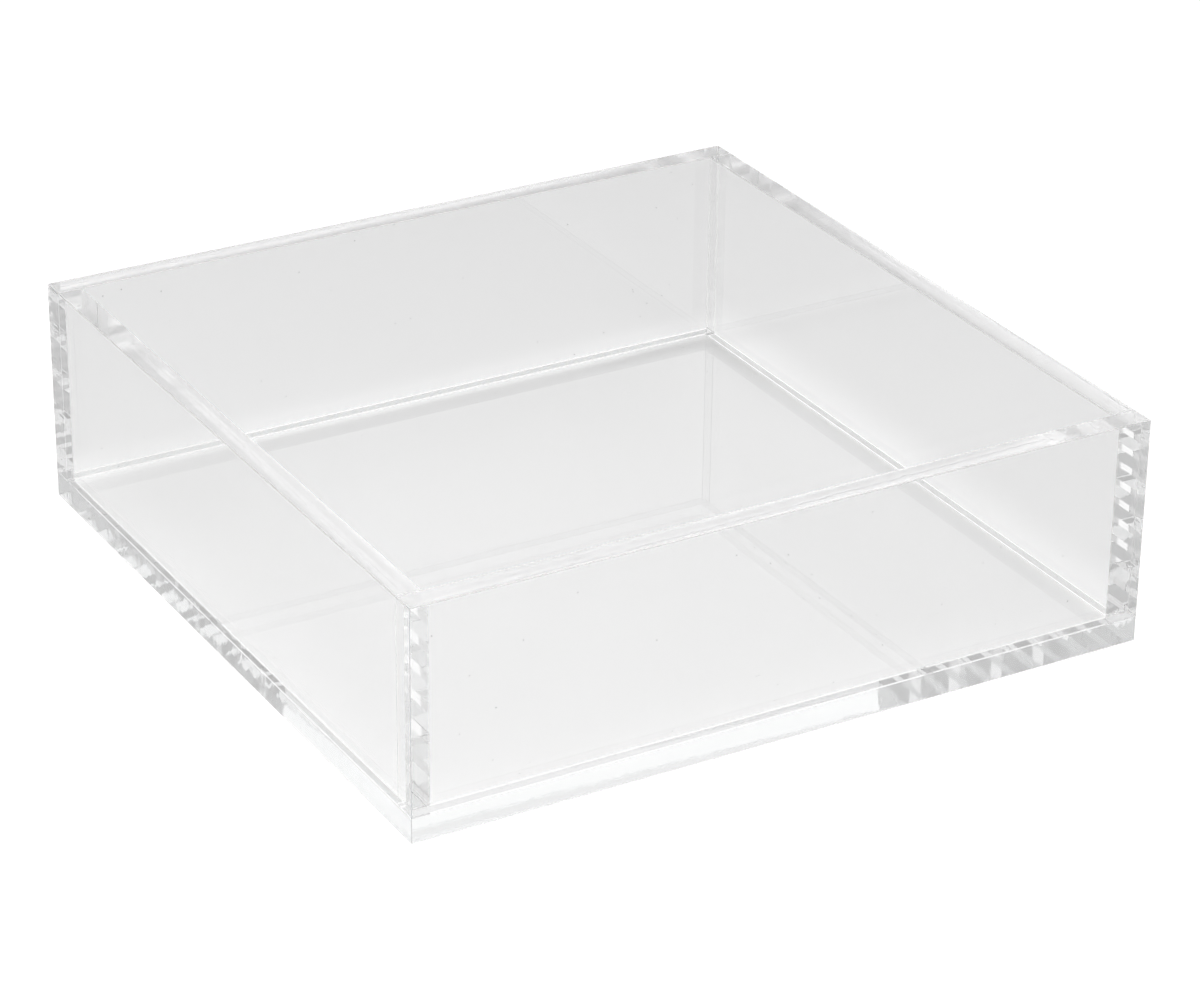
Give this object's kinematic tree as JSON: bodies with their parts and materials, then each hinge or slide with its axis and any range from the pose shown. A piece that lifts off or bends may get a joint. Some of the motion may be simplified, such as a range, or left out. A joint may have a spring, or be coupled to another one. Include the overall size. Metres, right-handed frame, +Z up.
{
  "type": "napkin holder",
  "caption": "Square clear acrylic napkin tray with low straight walls butted at the corners and standing on a full base sheet, open at the top.",
  "frame": {"origin": "centre of the underside, on the surface that the tray stands on", "axes": "+Z up, +Y towards the back wall, +X to the right; the front and back walls run the full width along X and lap the ends of the side walls"},
  "size_m": [0.1906, 0.1906, 0.0571],
  "materials": {
    "clear_acrylic": "polished"
  },
  "bodies": {
    "root": {"base_sheet": "clear_acrylic", "front_wall": "clear_acrylic", "back_wall": "clear_acrylic", "left_wall": "clear_acrylic", "right_wall": "clear_acrylic"}
  },
  "joints": []
}
